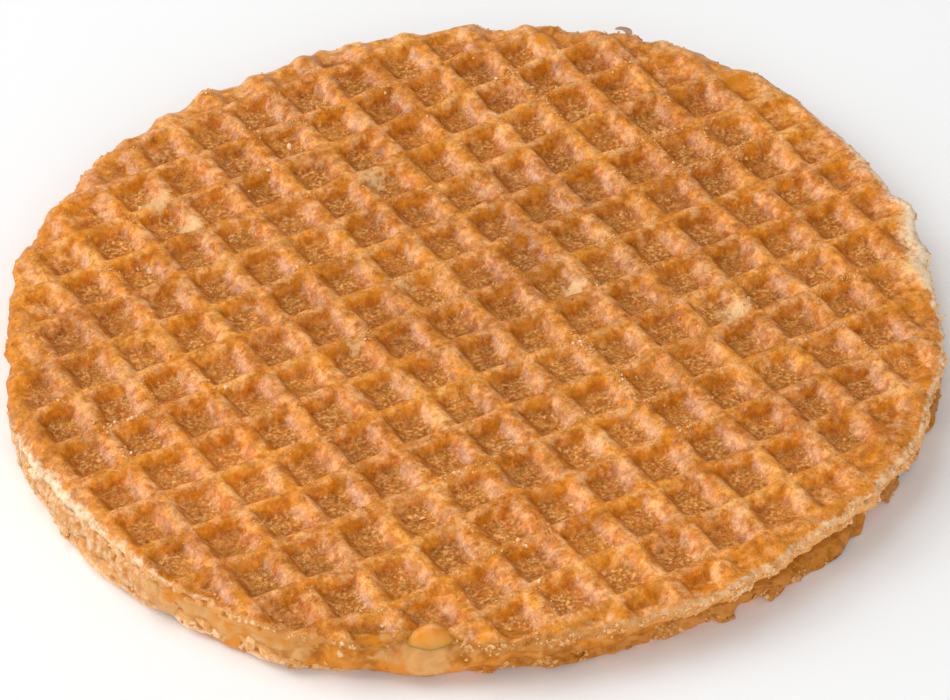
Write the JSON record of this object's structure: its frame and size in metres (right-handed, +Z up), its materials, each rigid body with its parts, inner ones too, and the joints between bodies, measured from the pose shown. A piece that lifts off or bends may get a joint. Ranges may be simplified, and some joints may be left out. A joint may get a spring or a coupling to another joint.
{
  "type": "stroopwafel",
  "caption": "Round caramel waffle biscuit: two thin grid-patterned wafers with a layer of syrup between them that shows at the rim.",
  "frame": {"origin": "middle of the bounding box, at the height of the surface that the lower ridges stand on", "axes": "+Z up through the biscuit's thickness; +X and +Y along the two directions of the waffle grid"},
  "size_m": [0.0965, 0.0974, 0.0063],
  "materials": {
    "wafer": "baked wafer: orange-brown crust with a faint fatty sheen, cream crumb at the cut rim",
    "syrup": "set caramel syrup: translucent amber, glossy where it has run out"
  },
  "bodies": {
    "root": {"wafer_top": "wafer", "syrup": "syrup", "wafer_bottom": "wafer"}
  },
  "joints": []
}
